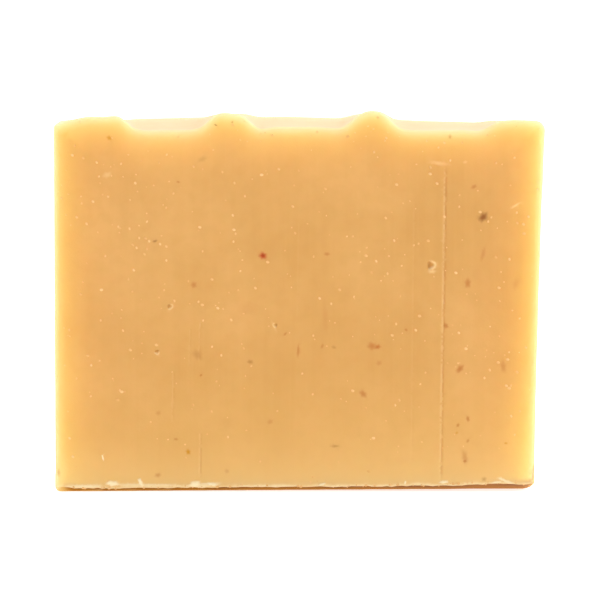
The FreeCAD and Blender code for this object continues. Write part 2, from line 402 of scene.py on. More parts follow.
@dataclass
class FaceMarks:
    """What one cut face shows, and the relief and the colour that it gives any point of the face.

    A step of a pit, a fleck or a chip counts from its middle, with 1 at its edge, and one of a corner
    inwards from the lip's end. A drag mark's bank and groove count in half its width. A gain is what
    the lip adds where it is strongest.
    """

    face: Face
    left_foot: float
    flecks: list[Fleck]
    pits: list[Pit]
    drag_marks: list[DragMark]
    chips: list[Chip]
    waves: Ripple = Ripple(14.0, 0.035)
    chatter: Ripple = Ripple((0.9, 1.0, 45.0), 0.006, 3.7)
    face_layer: float = 20.0
    most_proud: float = 0.2
    pit_uneven: float = 0.12
    pit_rim: float = 0.1
    pit_rim_place: float = 1.25
    pit_rim_width: float = 0.22
    # A pit's painted shade on its dark side, and the painted highlight on its rim.
    pit_shade: float = 0.8
    pit_shade_edge: Step = (1.1, 0.7)
    pit_shade_side: Step = (-0.18, 0.25)
    pit_highlight_cover: float = 0.6
    pit_highlight_width: float = 0.3
    pit_highlight_side: Step = (0.2, -0.3)
    pit_rings: tuple[float, ...] = (0.3, 0.6, 0.85, 1.0, 1.2, 1.5)
    spot_oval: float = 0.16
    spot_uneven: float = 0.12
    fleck_edge: Step = (1.65, 0.2)
    fleck_rings: tuple[float, ...] = (0.35, 0.7, 1.0, 1.3, 1.6)
    chip_edge: Step = (1.15, 0.55)
    chip_rings: tuple[float, ...] = (0.3, 0.6, 0.85, 1.1, 1.35)
    pale_chip_edge: Step = (1.15, 0.5)
    chip_cover: float = 0.85
    thin_chip: float = 0.45
    fleck_ring_points: int = 12
    ring_points: int = 14
    mark_start: Step = (0.0, 0.04)
    mark_end: Step = (1.03, 0.98)
    mark_row_step: float = 0.8
    mark_columns: tuple[float, ...] = (-3.2, -2.2, -1.5, -1.0, 0.0, 1.0, 2.0)
    deepest_mark: float = 0.15
    bank_place: float = 1.5
    bank_width: float = 0.7
    bank_share: float = 0.28
    # A drag mark's painted highlight on its bank and painted shade in its groove.
    bank_highlight_width: float = 0.75
    bank_highlight_cover: float = 0.26
    groove_shade_place: float = 0.2
    groove_shade_width: float = 0.8
    groove_shade_cover: float = 0.24
    edge_layer: float = 3.0
    lip_middle: float = 0.5
    lip_coarse: Ripple = Ripple(5.0, 0.55, 7.3)
    lip_fine: Ripple = Ripple(0.9, 0.55, 2.1)
    lip_proud: float = 0.2
    lip_height: float = 0.75
    lip_end: float = 41.0
    lip_corner: Step = (0.0, 1.6)
    lip_cover: float = 0.95
    thin_lip: float = 0.6
    cream_top: float = 0.32
    cream_top_gain: float = 0.4
    cream_foot: float = 0.1
    cream_foot_gain: float = 0.15
    cloudy: Step = (1.6, 0.6)
    ragged: float = 0.22
    ragged_coarse: Ripple = Ripple(4.2, 0.7, 1.9)
    ragged_fine: Ripple = Ripple(0.8, 0.7, 6.6)
    ragged_corner: Step = (0.5, 3.0)
    sag: float = 0.3
    gap_place: float = 76.0
    gap_reach: float = 3.5
    # Painted light from the floor: the face paler and straw-coloured towards its lower edge.
    pale_foot_glow: float = 0.42
    pale_foot_glow_reach: float = 5.5
    straw_floor_light: float = 0.4
    straw_floor_light_reach: float = 14.0
    break_layer: float = 9.0
    break_corner: Step = (0.3, 2.2)
    break_foot: Step = (0.01, 0.1)
    break_top: float = 1.3
    # Painted shade on the broken edge, and the darker painted shadow just under the lip.
    shaded_amber_cover: float = 0.9
    lip_shadow_cover: float = 0.95
    lip_shadow_middle: float = 0.75
    lip_shadow_patches: Ripple = Ripple(6.0, 0.45, 4.4)
    lip_shadow_rise: Step = (0.15, 0.85)

    def across(self, places: np.ndarray) -> np.ndarray:
        """Turns places from the left wall's foot into x."""
        return self.left_foot + places

    def on_layer(self, x: np.ndarray, z: np.ndarray | float, layer: float) -> np.ndarray:
        """Points at which to read noise, on a layer of their own so that no two patterns match."""
        return np.column_stack([x, np.full_like(x, layer * self.face.value), np.zeros_like(x) + z])

    def from_corner(self, x: np.ndarray, fade: Step) -> np.ndarray:
        """Rises from 0 at a lower corner of the face to 1 further in along its edge."""
        return smooth_step(self.lip_end - fade[0], self.lip_end - fade[1], np.abs(x))

    def pit_radius(self, pit: Pit, x: np.ndarray, z: np.ndarray) -> np.ndarray:
        """How far points lie from a pit's middle.

        Args:
            pit: The pit.
            x: The points' places across.
            z: The points' heights.

        Returns:
            The distance of each point, where 1 is the ragged edge.
        """
        dx = x - self.across(pit.place)
        dz = z - pit.height
        ragged = 1 + self.pit_uneven * np.sin(3 * np.arctan2(dz, dx) + pit.place)
        return np.hypot(dx, dz) / (pit.width / 2 * ragged)

    def spot_radius(self, spot: Fleck | Chip, x: np.ndarray, z: np.ndarray) -> np.ndarray:
        """How far points lie from a fleck's or a chip's middle.

        Args:
            spot: The fleck or chip.
            x: The points' places across.
            z: The points' heights.

        Returns:
            The distance of each point, where 1 is the irregular edge.
        """
        turn = math.radians(spot.turn)
        dx = x - self.across(spot.place)
        dz = z - spot.height
        along = (dx * math.cos(turn) + dz * math.sin(turn)) / (spot.length / 2)
        over = (-dx * math.sin(turn) + dz * math.cos(turn)) / (spot.width / 2)
        bearing = np.arctan2(over, along)
        oval = self.spot_oval * np.sin(2 * bearing + spot.place)
        uneven = self.spot_uneven * np.sin(5 * bearing + 3 * spot.height)
        return np.hypot(along, over) / (1 + oval + uneven)

    def mark_offset(self, mark: DragMark, x: np.ndarray, z: np.ndarray) -> tuple[np.ndarray, np.ndarray]:
        """Where points lie against a drag mark.

        Args:
            mark: The drag mark.
            x: The points' places across.
            z: The points' heights.

        Returns:
            The distance to the right of the mark, and how deep the mark is there, from 0 to 1.
        """
        share = (mark.top_height - z) / (mark.top_height - mark.low_height)
        path = self.across(mark.top_place + (mark.low_place - mark.top_place) * share)
        return x - path, smooth_step(*self.mark_start, share) * smooth_step(*self.mark_end, share)

    def lip_strength(self, x: np.ndarray) -> np.ndarray:
        """How far the torn lip stands out along the lower edge, from 0 to 1."""
        points = self.on_layer(x, 0.0, self.edge_layer)
        return np.clip(self.lip_middle + self.lip_coarse.at(points) + self.lip_fine.at(points), 0.0, 1.0)

    def raggedness(self, x: np.ndarray) -> np.ndarray:
        """How far the torn edge strays from its straight line.

        Args:
            x: The places along the edge.

        Returns:
            The distance up at each place, or down where it is below 0.
        """
        points = self.on_layer(x, 0.0, self.edge_layer)
        stray = self.ragged_coarse.at(points) + self.ragged_fine.at(points)
        sag = self.sag * (1 - bell(x - self.across(self.gap_place), self.gap_reach))
        return (self.ragged * stray - sag) * self.from_corner(x, self.ragged_corner)

    def broken_edge(self, x: np.ndarray, share: np.ndarray) -> np.ndarray:
        """The colour of the broken edge: painted shade in amber, darker still as a painted shadow under the
        lip.

        Args:
            x: The points' places across.
            share: How far up the broken edge they are, from 0 at the base to 1 at the lip, or -1
                elsewhere.

        Returns:
            A row of linear red, green and blue, of cover and of clearness for each point.
        """
        patches = self.lip_shadow_middle + self.lip_shadow_patches.at(self.on_layer(x, 0.0, self.break_layer))
        on_break = self.from_corner(x, self.break_corner) * smooth_step(*self.break_foot, share)
        on_break = on_break * (share < self.break_top)
        lip_shadow = self.lip_shadow_cover * on_break * np.clip(patches, 0.0, 1.0)
        paint = Paint(len(x))
        # Painted shade on the broken edge, then a darker painted shadow under the lip.
        paint.lay(Tone.SHADED_AMBER, self.shaded_amber_cover * on_break)
        paint.lay(Tone.CREASE, lip_shadow * smooth_step(*self.lip_shadow_rise, share))
        return paint.rows()

    def relief(self, x: np.ndarray, z: np.ndarray, edge_height: np.ndarray) -> np.ndarray:
        """How far the face stands out from its plane.

        Args:
            x: The points' places across.
            z: The points' heights.
            edge_height: The height of the face's lower edge below each point.

        Returns:
            The distance outwards, in millimetres.
        """
        points = self.on_layer(x, z, self.face_layer)
        out = self.waves.at(points)
        out += self.chatter.at(points)
        for pit in self.pits:
            radius = self.pit_radius(pit, x, z)
            bowl = np.where(radius < 1, -pit.depth * (1 - radius**2), 0.0)
            out += bowl + self.pit_rim * pit.depth * bell(radius - self.pit_rim_place, self.pit_rim_width)
        for mark in self.drag_marks:
            offset, fade = self.mark_offset(mark, x, z)
            half = mark.width / 2
            groove = np.clip(1 - np.abs(offset) / half, 0.0, 1.0)
            bank = bell(offset + self.bank_place * half, self.bank_width * half)
            out += mark.depth * fade * (self.bank_share * bank - groove)
        for chip in self.chips:
            out += chip.proud * smooth_step(*self.chip_edge, self.spot_radius(chip, x, z))
        above_edge = np.clip((z - edge_height) / self.lip_height, 0.0, 1.0)
        out += self.lip_proud * self.lip_strength(x) * (1 - above_edge) ** 2
        return np.minimum(out, self.most_proud)

    def tint(self, x: np.ndarray, z: np.ndarray, edge_height: np.ndarray, rind_and_glow: np.ndarray) -> np.ndarray:
        """The colour that lies over the soap's own.

        Args:
            x: The points' places across.
            z: The points' heights.
            edge_height: The height of the face's lower edge below each point.
            rind_and_glow: The shares near the rim of paler soap, partly drier and partly painted glow, and of
                a honey-coloured painted glow.

        Returns:
            A row of linear red, green and blue, of cover and of clearness for each point.
        """
        paint = Paint(len(x))
        above = z - edge_height
        # Paler soap near the rim, partly drier and partly painted glow, with a honey-coloured painted glow
        # further in.
        paint.lay(Tone.HONEY_GLOW, rind_and_glow[1])
        # Painted light from the floor, paler and straw-coloured towards the lower edge.
        paint.lay(Tone.STRAW_FLOOR_LIGHT, self.straw_floor_light * bell(above, self.straw_floor_light_reach))
        paint.lay(Tone.RIND_AND_GLOW, 1 - (1 - rind_and_glow[0]) * (1 - self.pale_foot_glow * bell(above, self.pale_foot_glow_reach)))
        for mark in self.drag_marks:
            offset, fade = self.mark_offset(mark, x, z)
            half = mark.width / 2
            strength = min(1.0, mark.depth / self.deepest_mark) * fade
            bank = bell(offset + self.bank_place * half, self.bank_highlight_width * half)
            groove = bell(offset - self.groove_shade_place * half, self.groove_shade_width * half)
            # Painted highlight on the bank in cream, and painted shade in the groove in cinnamon.
            paint.lay(Tone.CREAM, self.bank_highlight_cover * strength * bank)
            paint.lay(Tone.CINNAMON, self.groove_shade_cover * strength * groove)
        for pit in self.pits:
            self.tint_pit(paint, pit, x, z)
        for fleck in self.flecks:
            radius = self.spot_radius(fleck, x, z)
            paint.lay(fleck.tone, fleck.cover * smooth_step(*self.fleck_edge, radius))
        self.tint_lip(paint, x, above)
        for chip in self.chips:
            cover = self.chip_cover * min(1.0, self.thin_chip + chip.proud / self.most_proud)
            paint.lay(Tone.FLAKE, cover * smooth_step(*self.pale_chip_edge, self.spot_radius(chip, x, z)))
        return paint.rows()

    def tint_pit(self, paint: Paint, pit: Pit, x: np.ndarray, z: np.ndarray) -> None:
        """Paints shade into a pit on the side away from the light, and a painted highlight on its rim on the
        other.

        Args:
            paint: The colours laid so far.
            pit: The pit.
            x: The points' places across.
            z: The points' heights.
        """
        radius = self.pit_radius(pit, x, z)
        way = math.radians(pit.dark_side)
        dx = x - self.across(pit.place)
        aside = (dx * math.cos(way) + (z - pit.height) * math.sin(way)) / pit.width
        shaded = smooth_step(*self.pit_shade_edge, radius) * smooth_step(*self.pit_shade_side, aside)
        rim = bell(radius - 1.0, self.pit_highlight_width) * smooth_step(*self.pit_highlight_side, aside)
        # Painted shade in the pit, in a herb tone, and a painted cream highlight on its rim.
        paint.lay(Tone.HERB, self.pit_shade * shaded)
        paint.lay(Tone.CREAM, self.pit_highlight_cover * rim)

    def tint_lip(self, paint: Paint, x: np.ndarray, above: np.ndarray) -> None:
        """Pales and clouds the torn lip, most where it stands out furthest.

        Args:
            paint: The colours laid so far.
            x: The points' places across.
            above: How far the points are above the face's lower edge.
        """
        lip = self.lip_strength(x)
        top = self.cream_top + self.cream_top_gain * lip
        foot = self.cream_foot + self.cream_foot_gain * lip
        share = self.thin_lip + (1 - self.thin_lip) * lip
        inwards = self.from_corner(x, self.lip_corner)
        paint.lay(Tone.CREAM, self.lip_cover * (smooth_step(top, foot, above) * share * inwards))
        start, full = self.cloudy
        paint.cloud(smooth_step(self.lip_height * start, self.lip_height * full, above) * inwards)

    def focus_points(self) -> list[tuple[float, float]]:
        """Extra points where the face needs a finer mesh: rings in spots and pits, and drag marks.

        Returns:
            Places as x and z.
        """
        points = []
        for spots, shares, count in (
            (self.pits, self.pit_rings, self.ring_points),
            (self.chips, self.chip_rings, self.ring_points),
            (self.flecks, self.fleck_rings, self.fleck_ring_points),
        ):
            for spot in spots:
                points += self.rings(spot, shares, count)
        for mark in self.drag_marks:
            rows = max(2, round((mark.top_height - mark.low_height) / self.mark_row_step))
            for row in range(rows + 1):
                share = row / rows
                z = mark.top_height + (mark.low_height - mark.top_height) * share
                x = self.across(mark.top_place + (mark.low_place - mark.top_place) * share)
                points += [(x + mark.width / 2 * column, z) for column in self.mark_columns]
        return points

    def rings(
        self, spot: Fleck | Pit | Chip, shares: tuple[float, ...], count: int
    ) -> list[tuple[float, float]]:
        """Points on nested ellipses, or circles in a pit.

        Args:
            spot: The fleck, pit or chip that they are in.
            shares: The size of each ellipse, where 1 is the spot's own.
            count: Points on each ellipse.

        Returns:
            Places as x and z.
        """
        round_spot = isinstance(spot, Pit)
        length = spot.width if round_spot else spot.length
        turn = 0.0 if round_spot else math.radians(spot.turn)
        points = [(self.across(spot.place), spot.height)]
        for ring, share in enumerate(shares):
            for step in range(count):
                bearing = 2 * math.pi * (step + 0.5 * (ring % 2)) / count
                along = length / 2 * share * math.cos(bearing)
                over = spot.width / 2 * share * math.sin(bearing)
                x = self.across(spot.place) + along * math.cos(turn) - over * math.sin(turn)
                z = spot.height + along * math.sin(turn) + over * math.cos(turn)
                points.append((x, z))
        return points


@dataclass
class SoapBar:
    """The casting: the band round it, its softened edges and its two cut faces."""

    packed: PackedBar
    marks: dict[Face, FaceMarks]
    probe_rays: int = 4000
    top_from: float = 55.0
    top_half_length: float = 41.0
    base_to: float = 2.0
    top_step: float = 0.45
    wall_step: float = 0.8
    base_step: float = 0.9
    points_per_radian: float = 9.0
    sharpest_turn: float = 0.3
    least_turn: float = 0.001
    edge_round: float = 0.5
    wall_edge_round: float = 0.38
    radius_share: float = 0.6
    radius_change: float = 0.04
    plane_margin: float = 0.01
    round_rows: int = 6
    fine_row_step: float = 0.28
    fine_row_reach: float = 2.8
    row_step: float = 0.62
    face_step: float = 0.85
    face_jitter: float = 0.22
    lower_face_reach: float = 3.2
    lower_face_step: float = 0.3
    lower_face_jitter: float = 0.2
    rim_margin: float = 0.12
    closest: float = 0.07
    weld_reach: float = 1e-5
    broken_reach: float = 4.2
    torn_top: float = 3.8
    foot_top: float = 4.0
    skin_coarse: Ripple = Ripple(5.5, 0.07)
    skin_fine: Ripple = Ripple(5.5 / 3, 0.028, 5.1)
    skin_sunk: float = 0.035
    liner: Ripple = Ripple((11.0, 11.0, 4.0), 0.04, 9.4)
    liner_sunk: float = 0.04
    lip_half_length: float = 39.5
    lip_height: float = 2.2
    rises_at: Step = (0.3, 0.8)
    leaves_base_at: Step = (0.9, 0.6)
    # Paler soap near the cut faces' edges: partly drier soap, partly painted glow of light through the edge.
    wall_rind_and_glow: float = 0.4
    wall_rind_and_glow_reach: float = 0.45
    top_rind_and_glow: float = 0.75
    top_rind_and_glow_reach: float = 1.0
    rim_parts: int = 4
    # A honey-coloured painted glow a few millimetres in from the rim, strongest under the free top.
    wall_honey_glow: float = 0.2
    top_honey_glow: float = 0.45
    honey_glow_reach: float = 5.0
    dry_and_glowing_edge: Step = (1.2, 0.3)
    # Skin colour on faces turned up: partly a drier skin, partly painted light from above.
    skin_and_top_light_at: Step = (0.2, 0.75)
    wall_skin: float = 0.35
    wall_skin_at: Step = (0.5, 0.9)
    cut_depth: Step = (0.5, 0.1)
    seed: int = 11
    lips: dict[Face, np.ndarray] = field(default_factory=dict)

    def ring_angles(self) -> np.ndarray:
        """Chooses the directions of the band's columns: closer on the free top and at corners.

        Returns:
            The angle of each column about the bar's middle.
        """
        angles = np.linspace(-math.pi, math.pi, self.probe_rays, endpoint=False)
        ring = self.packed.section(self.packed.face_y[Face.FRONT] + self.edge_round, angles)
        ahead = np.roll(ring, -1, axis=0) - ring
        length = np.hypot(ahead[:, 0], ahead[:, 2])
        heading = np.unwrap(np.arctan2(ahead[:, 2], ahead[:, 0]))
        turning = np.abs(np.diff(heading, append=heading[:1] + 2 * math.pi))
        on_top = (ring[:, 2] > self.top_from) & (np.abs(ring[:, 0]) < self.top_half_length)
        on_base = ring[:, 2] < self.base_to
        step = np.where(on_top, self.top_step, np.where(on_base, self.base_step, self.wall_step))
        weight = length / step + np.minimum(turning, self.sharpest_turn) * self.points_per_radian
        total = np.concatenate([[0.0], np.cumsum(weight)])
        wanted = np.linspace(0, total[-1], round(total[-1]), endpoint=False)
        return np.interp(wanted, total, np.append(angles, math.pi))

    def rows(self) -> np.ndarray:
        """Chooses the places of the band's rows between the two cut faces, closer near each face.

        Returns:
            The y of each row.
        """
        front = self.packed.face_y[Face.FRONT] + self.edge_round
        back = self.packed.face_y[Face.BACK] - self.edge_round
        fine = math.ceil(self.fine_row_reach / self.fine_row_step)
        near = np.linspace(0, self.fine_row_reach, fine, endpoint=False)
        middle_count = math.ceil((back - front - 2 * self.fine_row_reach) / self.row_step) + 1
        middle = np.linspace(front + self.fine_row_reach, back - self.fine_row_reach, middle_count)
        return np.concatenate([front + near, middle, back - near[::-1]])

    def outward(self, ring: np.ndarray) -> np.ndarray:
        """The direction out of the bar along a ring, in the ring's own plane.

        Args:
            ring: The ring.

        Returns:
            A direction of length 1 for each point.
        """
        along = np.roll(ring, -1, axis=0) - np.roll(ring, 1, axis=0)
        normal = np.column_stack([along[:, 2], np.zeros(len(ring)), -along[:, 0]])
        return normal / np.linalg.norm(normal, axis=1)[:, None]

    def moulded_relief(self, ring: np.ndarray, normal: np.ndarray) -> np.ndarray:
        """How far the walls and the free top stand out from the plain solid.

        Args:
            ring: A ring of the band.
            normal: The direction out of the bar at each of its points.

        Returns:
            The distance at each point, which is 0 on the base.
        """
        up = np.clip(normal[:, 2], 0.0, 1.0)
        down = np.clip(-normal[:, 2], 0.0, 1.0)
        skin = self.skin_coarse.at(ring) + self.skin_fine.at(ring) - self.skin_sunk
        liner = self.liner.at(ring) - self.liner_sunk
        return up * skin + (1 - up) * (1 - down) * liner

    def off_base(self, normal: np.ndarray) -> np.ndarray:
        """Falls from 1 on the walls and the top to 0 on the base."""
        return smooth_step(*self.leaves_base_at, -normal[:, 2])

    def edge_radius(self, ring: np.ndarray, normal: np.ndarray) -> np.ndarray:
        """How round the edge of a cut face is at each column: less where the outline turns sharply.

        Args:
            ring: The band's last ring before the face.
            normal: The direction out of the bar at each of its points.

        Returns:
            The radius at each column, small enough that the rounded rows don't cross themselves.
        """
        at_top = smooth_step(*self.rises_at, normal[:, 2])
        radius = self.wall_edge_round + (self.edge_round - self.wall_edge_round) * at_top
        length = np.linalg.norm(np.roll(ring, -1, axis=0) - ring, axis=1)
        ahead = np.roll(normal, -1, axis=0)
        turn = normal[:, 0] * ahead[:, 2] - normal[:, 2] * ahead[:, 0]
        limit = self.radius_share * length / np.maximum(turn, self.least_turn)
        radius = np.minimum(radius, np.minimum(limit, np.roll(limit, 1)))
        for _ in range(self.round_rows * 2):
            beside = np.minimum(np.roll(radius, 1), np.roll(radius, -1))
            radius = np.minimum(radius, beside + self.radius_change)
        return radius

    def edge_rows(self, face: Face, angles: np.ndarray, ring: np.ndarray) -> list[np.ndarray]:
        """The rows from the band into a cut face: rounded, but broken off as packed along the base.

        Args:
            face: The cut face.
            angles: The direction of each column.
            ring: The band's last ring before the face.

        Returns:
            One ring for each row, of which the last lies in the face.
        """
        normal = self.outward(ring)
        torn = smooth_step(self.torn_top, self.torn_top / 2, ring[:, 2])[:, None]
        radius = self.edge_radius(ring, normal)[:, None]
        start = ring[0, 1]
        plane = self.packed.face_y[face]
        rings = []
        for row in range(1, self.round_rows + 1):
            angle = math.pi / 2 * row / self.round_rows
            y = start + (plane - start) * math.sin(angle)
            rounded = ring - normal * radius * (1 - math.cos(angle))
            moulded = self.packed.section(y - self.plane_margin * face.value, angles)
            step = rounded + (moulded - rounded) * torn
            step[:, 1] = y
            step[:, 2] += torn[:, 0] * self.marks[face].raggedness(step[:, 0]) * (row / self.round_rows) ** 2
            rings.append(step)
        return rings

    def face_points(self, face: Face, rim: np.ndarray) -> np.ndarray:
        """Chooses the points inside a cut face's rim.

        Args:
            face: The cut face.
            rim: The face's rim.

        Returns:
            Places as x and z.
        """
        rng = np.random.default_rng(self.seed + face.value)
        low_x, high_x = rim[:, 0].min(), rim[:, 0].max()
        layers = []
        for step, top, jitter in (
            (self.face_step, rim[:, 2].max(), self.face_jitter),
            (self.lower_face_step, self.lower_face_reach, self.lower_face_jitter),
        ):
            grid = np.array([(x, z) for x in np.arange(low_x, high_x, step) for z in np.arange(0, top, step)])
            layers.append(grid + rng.uniform(-jitter, jitter, grid.shape) * step)
        return np.concatenate([*layers, np.array(self.marks[face].focus_points())])

    def inside(self, rim: np.ndarray, points: np.ndarray) -> np.ndarray:
        """Keeps the points that lie in a rim, a little away from it, and not on each other.

        Args:
            rim: The rim.
            points: Places as x and z.

        Returns:
            The points that are kept.
        """
        centre = np.array([0.0, self.packed.middle_height])
        rim_offset = rim[:, [0, 2]] - centre
        rim_angle = np.arctan2(rim_offset[:, 1], rim_offset[:, 0])
        order = np.argsort(rim_angle)
        rim_reach = np.hypot(*rim_offset.T)[order]
        offset = points - centre
        angle = np.arctan2(offset[:, 1], offset[:, 0])
        limit = np.interp(angle, rim_angle[order], rim_reach, period=2 * math.pi)
        kept = points[np.hypot(*offset.T) < limit - self.rim_margin]
        _, first = np.unique(np.round(kept / self.closest).astype(int), axis=0, return_index=True)
        return kept[np.sort(first)]

    def build(self) -> tuple[bpy.types.Object, dict[Face, tuple[np.ndarray, np.ndarray]]]:
        """Makes the bar's mesh.

        Returns:
            The bar, and for each cut face its points and its triangles.
        """
        angles = self.ring_angles()
        count = len(angles)
        rings = []
        normals = []
        for y in self.rows():
            ring = self.packed.section(y, angles)
            normals.append(self.outward(ring))
            rings.append(ring + normals[-1] * self.moulded_relief(ring, normals[-1])[:, None])
        front_edge = self.edge_rows(Face.FRONT, angles, rings[0])
        back_edge = self.edge_rows(Face.BACK, angles, rings[-1])
        rings = front_edge[::-1] + rings + back_edge
        normals = normals[:1] * self.round_rows + normals + normals[-1:] * self.round_rows
        rows = len(rings)
        vertices = [np.concatenate(rings)]
        tint = [self.band_tint(vertices[0], np.concatenate(normals), rings[0], rings[-1])]
        polygons = []
        for start in range(0, (rows - 1) * count, count):
            for i in range(count):
                j = (i + 1) % count
                polygons.append((start + i, start + count + i, start + count + j, start + j))
        rims = {Face.FRONT: slice(0, count), Face.BACK: slice((rows - 1) * count, rows * count)}
        face_meshes = {}
        for face, on_rim in rims.items():
            rim = vertices[0][on_rim]
            inner, triangles, rim_relief = self.cut_face(face, rim)
            rim[:, 1] += rim_relief * face.value
            tint[0][on_rim] = self.face_tint(face, rim, rim)
            offset = sum(len(v) for v in vertices)
            index = np.where(triangles < count, triangles + on_rim.start, triangles - count + offset)
            polygons += [tuple(t) for t in index.tolist()]
            vertices.append(inner)
            tint.append(self.face_tint(face, inner, rim))
            face_meshes[face] = (np.concatenate([rim, inner]), triangles)
            low = rim[(rim[:, 2] < self.lip_height) & (np.abs(rim[:, 0]) < self.lip_half_length)]
            self.lips[face] = low[np.argsort(low[:, 0])]
        points = np.concatenate(vertices)
        mesh = bpy.data.meshes.new("soap_bar_body")
        mesh.from_pydata((points * MM).tolist(), [], polygons)
        mesh.shade_smooth()
        self.sharpen_lips(mesh, points, rims)
        self.store_attributes(mesh, points, np.concatenate(tint))
        return add_to_scene("soap_bar_body", mesh), face_meshes

    def sharpen_lips(self, mesh: bpy.types.Mesh, points: np.ndarray, rims: dict[Face, slice]) -> None:
        """Marks the torn lower edge of each cut face as sharp, so that its shading isn't smoothed away.

        Args:
            mesh: The bar's mesh.
            points: Its points in millimetres.
            rims: Which points are each cut face's rim.
        """
        ends = np.zeros(len(mesh.edges) * 2, np.int32)
        mesh.edges.foreach_get("vertices", ends)
        ends = ends.reshape(-1, 2)
        low = (points[:, 2] < self.lip_height) & (np.abs(points[:, 0]) < self.lip_half_length)
        sharp = np.zeros(len(ends), bool)
        for rim in rims.values():
            on_rim = (ends >= rim.start).all(axis=1) & (ends < rim.stop).all(axis=1)
            sharp |= on_rim & low[ends].all(axis=1)
        layer = mesh.attributes.new("sharp_edge", "BOOLEAN", "EDGE")
        layer.data.foreach_set("value", sharp)

    def band_tint(
        self, points: np.ndarray, normals: np.ndarray, front_rim: np.ndarray, back_rim: np.ndarray
    ) -> np.ndarray:
        """The colour over the soap's own at points of the band: paler soap at its rounded edges, partly drier
        and partly painted glow, and painted shade on its broken ones.

        Args:
            points: The band's points.
            normals: The direction out of the bar at each, in its own plane.
            front_rim: The front cut face's rim.
            back_rim: The back cut face's rim.

        Returns:
            A row of linear red, green and blue, of cover and of clearness for each point.
        """
        up = np.clip(normals[:, 2], 0.0, 1.0)
        edge = smooth_step(*self.dry_and_glowing_edge, self.depth(points))
        # Paler soap at the rounded edges by the cut faces: partly drier, partly painted glow, most on the
        # top.
        rind_and_glow = self.wall_rind_and_glow + (self.top_rind_and_glow - self.wall_rind_and_glow) * up
        paint = Paint(len(points))
        paint.lay(Tone.RIND_AND_GLOW, rind_and_glow * self.off_base(normals) * edge)
        tint = paint.rows()
        for face, rim in ((Face.FRONT, front_rim), (Face.BACK, back_rim)):
            x = points[:, 0]
            near = np.abs(points[:, 1] - self.packed.face_y[face]) < self.broken_reach
            share = np.where(near, points[:, 2] / self.lower_edge(x, rim), -1.0)
            own = self.marks[face].broken_edge(x, share)
            tint = np.where(own[:, 3:4] > 0, own, tint)
        return tint

    def depth(self, points: np.ndarray) -> np.ndarray:
        """How far points lie behind the nearer cut face's plane."""
        y = points[:, 1]
        return np.minimum(y - self.packed.face_y[Face.FRONT], self.packed.face_y[Face.BACK] - y)

    def lower_edge(self, x: np.ndarray, rim: np.ndarray) -> np.ndarray:
        """The height of a cut face's lower edge.

        Args:
            x: The places along the edge.
            rim: The face's rim.

        Returns:
            The height at each place.
        """
        low = rim[rim[:, 2] < self.foot_top]
        low = low[np.argsort(low[:, 0])]
        return np.interp(x, low[:, 0], low[:, 2])

    def rind_and_glow(self, points: np.ndarray, rim: np.ndarray) -> np.ndarray:
        """How much paler soap shows near a cut face's rim, partly drier and partly painted glow: most under
        the free top.

        Args:
            points: The face's points.
            rim: Its rim.

        Returns:
            For each point, the share of paler soap, partly drier and partly painted glow, and of the lighter,
            honey-coloured painted glow further in.
        """
        ahead = np.roll(rim, -1, axis=0)
        normal = self.outward(rim)
        parts = np.arange(self.rim_parts) / self.rim_parts
        fine_rim = np.concatenate([rim + (ahead - rim) * share for share in parts])
        tree = KDTree(len(fine_rim))
        for index, (x, _, z) in enumerate(fine_rim):
            tree.insert((x, 0, z), index)
        tree.balance()
        found = [tree.find((x, 0, z)) for x, _, z in points]
        distance = np.array([hit[2] for hit in found])
        nearest = np.array([hit[1] for hit in found]) % len(rim)
        up = np.clip(normal[:, 2], 0.0, 1.0)[nearest]
        reach = self.wall_rind_and_glow_reach + (self.top_rind_and_glow_reach - self.wall_rind_and_glow_reach) * up
        cover = self.wall_rind_and_glow + (self.top_rind_and_glow - self.wall_rind_and_glow) * up
        honey = (self.wall_honey_glow + (self.top_honey_glow - self.wall_honey_glow) * up) * self.off_base(normal)[nearest]
        return np.stack([cover * np.exp(-distance / reach), honey * bell(distance, self.honey_glow_reach)])

    def face_tint(self, face: Face, points: np.ndarray, rim: np.ndarray) -> np.ndarray:
        """The colour over the soap's own at points of a cut face."""
        x, z = points[:, 0], points[:, 2]
        return self.marks[face].tint(x, z, self.lower_edge(x, rim), self.rind_and_glow(points, rim))

    def cut_face(self, face: Face, rim: np.ndarray) -> tuple[np.ndarray, np.ndarray, np.ndarray]:
        """Fills a rim with a cut face.

        Args:
            face: The cut face.
            rim: The face's rim.

        Returns:
            The points inside the rim, the triangles over the rim's points and then those, and how
            far each point of the rim stands out.
        """
        inner = self.inside(rim, self.face_points(face, rim))
        flat = [Vector(p) for p in np.concatenate([rim[:, [0, 2]], inner]).tolist()]
        count = len(rim)
        result = delaunay_2d_cdt(flat, [], [list(range(count))], INSIDE_ONLY, self.weld_reach, True)
        origin = np.array([source[0] if source else -1 for source in result[3]])
        added = np.flatnonzero(origin < 0)
        if len(added) or len(origin) != len(flat):
            log.warning("cut face %s: %d points in, %d out", face.name, len(flat), len(origin))
            origin[added] = len(flat) + np.arange(len(added))
            inner = np.concatenate([inner, np.array([tuple(result[0][i]) for i in added]).reshape(-1, 2)])
        triangles = origin[np.array([t for t, source in zip(result[2], result[5]) if source])]
        if face is Face.BACK:
            triangles = triangles[:, ::-1]
        x, z = inner[:, 0], inner[:, 1]
        plane = self.packed.face_y[face]
        relief = self.marks[face].relief(x, z, self.lower_edge(x, rim))
        extra = np.column_stack([x, plane + relief * face.value, z])
        rim_relief = self.marks[face].relief(rim[:, 0], rim[:, 2], self.lower_edge(rim[:, 0], rim))
        return extra, triangles, rim_relief

